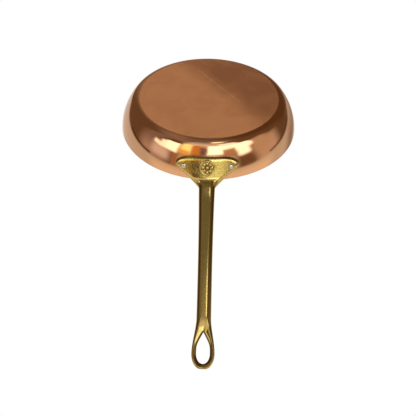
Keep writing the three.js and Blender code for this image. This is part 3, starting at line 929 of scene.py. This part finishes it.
room_columns = round(360 / ROOM_STEP)
room_headings = ROOM_STEP * np.arange(room_columns)
room_dips = np.linspace(ROOM_STEP / 2 - 90, 90 - ROOM_STEP / 2, round(180 / ROOM_STEP))
room_points = [sphere_point(heading, dip, ROOM_DISTANCE) for dip in room_dips for heading in room_headings]
last_row = len(room_points) - room_columns
room_faces = [list(range(room_columns)), list(range(last_row, len(room_points)))]
for low in range(0, last_row, room_columns):
    high = low + room_columns
    for column in range(room_columns):
        after = (column + 1) % room_columns
        room_faces.append((low + column, low + after, high + after, high + column))
room = add_piece("room", room_points, room_faces)
room.visible_camera = False
tree, place = new_material("room_glow", room)
direction = add_node(tree, "ShaderNodeVectorMath", {0: place}, operation="NORMALIZE")
x, y, z = add_node(tree, "ShaderNodeSeparateXYZ", {"Vector": direction}).node.outputs
heading = add_node(tree, "ShaderNodeMath", {0: y, 1: x}, operation="ARCTAN2")
rise = add_node(tree, "ShaderNodeMath", {0: z}, operation="ARCSINE")
bearing = add_node(tree, "ShaderNodeCombineXYZ", {"X": heading, "Y": rise})
# Heading and dip in degrees.
degrees = add_node(
    tree, "ShaderNodeVectorMath", {0: bearing, 1: (180 / math.pi, -180 / math.pi, 0)}, operation="MULTIPLY"
)
room_colour = linear(ROOM_COLOUR)
for middle, spread, soft, colour, strength in ROOM_PATCHES.values():
    patch_colour = [*(part * strength for part in linear(colour)[:3]), 1]
    from_middle = add_node(tree, "ShaderNodeVectorMath", {0: degrees, 1: (*middle, 0)}, operation="SUBTRACT")
    gap = add_node(tree, "ShaderNodeVectorMath", {0: from_middle}, operation="ABSOLUTE")
    masks = add_node(
        tree,
        "ShaderNodeMapRange",
        {
            "Vector": gap,
            RANGE_FROM_MIN: (spread[0] - soft, spread[1] - soft, 0),
            RANGE_FROM_MAX: (spread[0] + soft, spread[1] + soft, 1),
            RANGE_TO_MIN: (1, 1, 1),
            RANGE_TO_MAX: (0, 0, 0),
        },
        "Vector",
        data_type="FLOAT_VECTOR",
        interpolation_type="SMOOTHSTEP",
    )
    mask_x, mask_y, _ = add_node(tree, "ShaderNodeSeparateXYZ", {"Vector": masks}).node.outputs
    mask = add_node(tree, "ShaderNodeMath", {0: mask_x, 1: mask_y}, operation="MULTIPLY")
    room_colour = add_node(
        tree,
        "ShaderNodeMix",
        {"Factor": mask, MIX_A: room_colour, MIX_B: patch_colour},
        MIX_RESULT,
        data_type="RGBA",
    )
glow = add_node(tree, "ShaderNodeEmission", {"Color": room_colour, "Strength": 1})
add_node(tree, "ShaderNodeOutputMaterial", {"Surface": glow})

floor_points = [
    (FLOOR_RADIUS * math.cos(turn), FLOOR_RADIUS * math.sin(turn), -FLOOR_BELOW_BASE)
    for turn in 2 * math.pi * np.arange(FLOOR_CORNERS) / FLOOR_CORNERS
]
floor = add_piece("floor", floor_points, [list(range(FLOOR_CORNERS))])
# The floor takes the pan's shadow, but keeps no light from the pan and doesn't show in it.
floor.visible_diffuse = False
floor.visible_glossy = False
floor.visible_transmission = False
floor.visible_shadow = False
tree, _ = new_material("pale_floor", floor)
from_below = add_node(tree, "ShaderNodeNewGeometry", {}, "Backfacing")
floor_paint = add_node(tree, "ShaderNodeBsdfDiffuse", {"Color": linear(FLOOR_COLOUR)})
clear = add_node(tree, "ShaderNodeBsdfTransparent", {})
floor_surface = add_node(tree, "ShaderNodeMixShader", {0: from_below, 1: floor_paint, 2: clear})
add_node(tree, "ShaderNodeOutputMaterial", {"Surface": floor_surface})

sky = bpy.data.worlds.new("white_sky")
sky.use_nodes = True
sky.node_tree.nodes.clear()
tree = sky.node_tree
# The sky is white where it is seen or mirrored, and lights nothing.
rays = add_node(tree, "ShaderNodeLightPath", {}).node.outputs
seen = add_node(
    tree, "ShaderNodeMath", {0: rays["Is Camera Ray"], 1: rays["Is Glossy Ray"]}, operation="MAXIMUM"
)
shown = add_node(tree, "ShaderNodeMath", {0: seen, 1: rays["Is Transmission Ray"]}, operation="MAXIMUM")
sky_light = add_node(tree, "ShaderNodeBackground", {"Color": linear(SKY_COLOUR), "Strength": shown})
add_node(tree, "ShaderNodeOutputWorld", {"Surface": sky_light})
bpy.context.scene.world = sky
bpy.context.scene.view_settings.view_transform = "Standard"

# Camera
# It stands under the handle's end and looks up at the base, as in the photograph, where the pan is upside
# down. The top of the picture is towards the far side of the rim.
CAMERA_PLACE = Vector((460.2, -0.32, -299.3))
CAMERA_AIM = Vector((174.32, -1.45, 0))
CAMERA_ROLL = math.radians(1.19)
CAMERA_LENS = 41.54
CAMERA_SENSOR = 36.0

camera_data = bpy.data.cameras.new("photo_camera")
camera_data.lens = CAMERA_LENS
camera_data.sensor_width = CAMERA_SENSOR
camera = bpy.data.objects.new("photo_camera", camera_data)
bpy.context.scene.collection.objects.link(camera)
forward = (CAMERA_AIM - CAMERA_PLACE).normalized()
right = forward.cross(Vector((-1, 0, 0))).normalized()
up = right.cross(forward)
rolled_right = right * math.cos(CAMERA_ROLL) + up * math.sin(CAMERA_ROLL)
rolled_up = up * math.cos(CAMERA_ROLL) - right * math.sin(CAMERA_ROLL)
facing = Matrix((rolled_right, rolled_up, -forward)).transposed().to_4x4()
camera.matrix_world = Matrix.Translation(CAMERA_PLACE * MM) @ facing
bpy.context.scene.camera = camera
